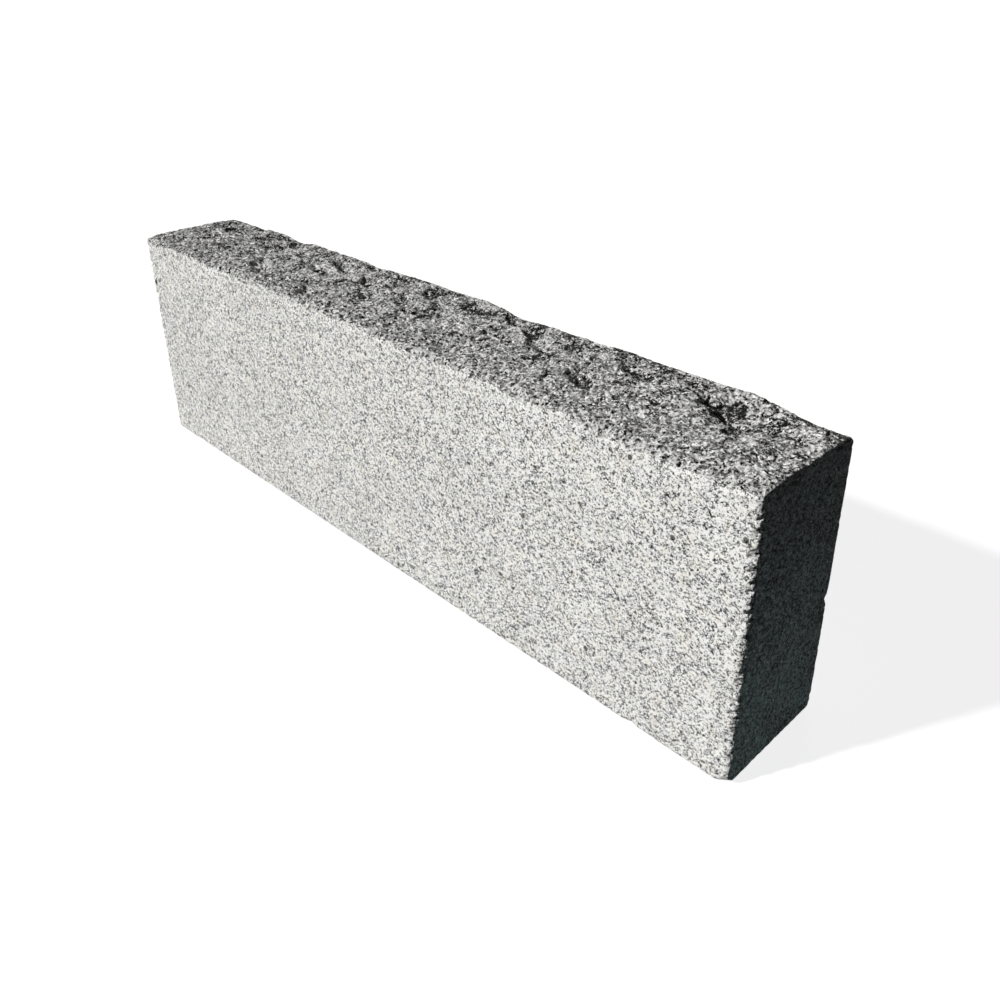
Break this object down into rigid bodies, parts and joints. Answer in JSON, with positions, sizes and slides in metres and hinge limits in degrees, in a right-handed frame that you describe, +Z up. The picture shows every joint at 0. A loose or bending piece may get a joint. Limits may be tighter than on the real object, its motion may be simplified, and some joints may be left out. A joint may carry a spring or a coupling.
{
  "type": "granite kerb stone",
  "caption": "Rectangular granite kerb stone with flat faces and ends, a flat bed, a rough split top and broken, chipped edges.",
  "frame": {"origin": "middle of the bed, the flat underside that the stone stands on", "axes": "+X along the kerb, +Y across it from the road face to the back, +Z up from the bed to the split top"},
  "size_m": [1, 0.142, 0.302],
  "materials": {
    "granite": "medium-grained grey granite, salt and pepper, with pale feldspar, grey quartz and black mica; bush-hammered faces, split top"
  },
  "bodies": {
    "root": {"kerb_stone": "granite"}
  },
  "joints": []
}
